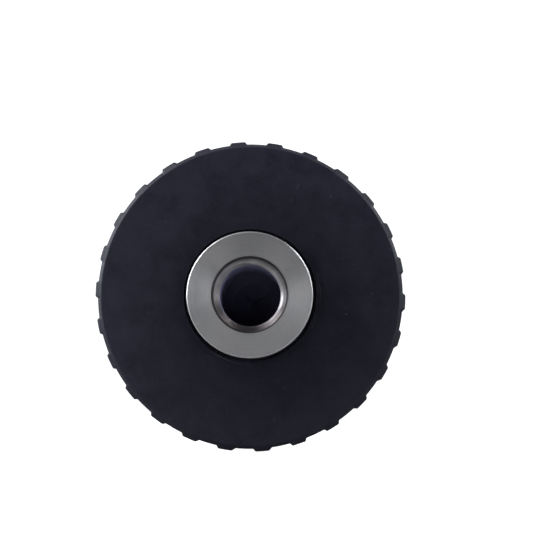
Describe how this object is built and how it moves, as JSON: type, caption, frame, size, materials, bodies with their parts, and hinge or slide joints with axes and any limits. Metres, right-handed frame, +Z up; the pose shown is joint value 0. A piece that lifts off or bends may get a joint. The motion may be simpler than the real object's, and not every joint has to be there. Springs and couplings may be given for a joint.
{
  "type": "drill chuck",
  "caption": "Keyless two-sleeve drill chuck: ribbed plastic sleeves on a steel body with a threaded rear bore and self-centring jaws.",
  "frame": {"origin": "centre of the steel hub's rear face", "axes": "+Y along the chuck axis towards the jaws, so the spindle thread opens towards -Y; +Z up; the chuck lies on its side on two ribs of each sleeve"},
  "size_m": [0.0428, 0.066, 0.0428],
  "materials": {
    "body_steel": "turned, fine concentric lathe marks",
    "sleeve_plastic": "fine moulded grain, near-black with a slight navy tint",
    "race_steel": "ground",
    "cage_brass": "stamped, satin",
    "ball_steel": "polished",
    "nut_steel": "oiled dark heat-treated",
    "collar_steel": "zinc plated",
    "ring_steel": "turned, satin",
    "jaw_steel": "ground, hardened"
  },
  "bodies": {
    "chuck_body": {"steel_body": "body_steel", "rear_sleeve": "sleeve_plastic", "rear_race": "race_steel", "nose_ring": "ring_steel"},
    "sleeve": {"front_sleeve": "sleeve_plastic", "nut_collar": "collar_steel", "nut_half_a": "nut_steel", "nut_half_b": "nut_steel", "front_race": "race_steel"},
    "cage": {"ball_cage": "cage_brass", "ball_01": "ball_steel", "ball_02": "ball_steel", "ball_03": "ball_steel", "ball_04": "ball_steel", "ball_05": "ball_steel", "ball_06": "ball_steel", "ball_07": "ball_steel", "ball_08": "ball_steel", "ball_09": "ball_steel", "ball_10": "ball_steel", "ball_11": "ball_steel", "ball_12": "ball_steel", "ball_13": "ball_steel", "ball_14": "ball_steel"},
    "jaw_1": {"jaw_1": "jaw_steel"},
    "jaw_2": {"jaw_2": "jaw_steel"},
    "jaw_3": {"jaw_3": "jaw_steel"}
  },
  "joints": [
    {"name": "sleeve_turn", "type": "hinge", "parent": "chuck_body", "child": "sleeve", "pos_m": [0, 0.03, 0], "axis": [0, 1, 0], "range_deg": [0, 5040]},
    {"name": "cage_turn", "type": "hinge", "parent": "chuck_body", "child": "cage", "pos_m": [0, 0.0285, 0], "axis": [0, 1, 0], "range_deg": [0, 2520]},
    {"name": "jaw_1_slide", "type": "slide", "parent": "chuck_body", "child": "jaw_1", "axis": [0, -0.9659, 0.2589], "range_m": [0, 0.0252]},
    {"name": "jaw_2_slide", "type": "slide", "parent": "chuck_body", "child": "jaw_2", "axis": [0.2242, -0.9659, -0.1294], "range_m": [0, 0.0252]},
    {"name": "jaw_3_slide", "type": "slide", "parent": "chuck_body", "child": "jaw_3", "axis": [-0.2242, -0.9659, -0.1294], "range_m": [0, 0.0252]}
  ],
  "couplings": [
    {"joint": "cage_turn", "follows": "sleeve_turn", "ratio": 0.5},
    {"joint": "jaw_1_slide", "follows": "sleeve_turn", "m_per_rad": 0.00028648},
    {"joint": "jaw_2_slide", "follows": "sleeve_turn", "m_per_rad": 0.00028648},
    {"joint": "jaw_3_slide", "follows": "sleeve_turn", "m_per_rad": 0.00028648}
  ]
}
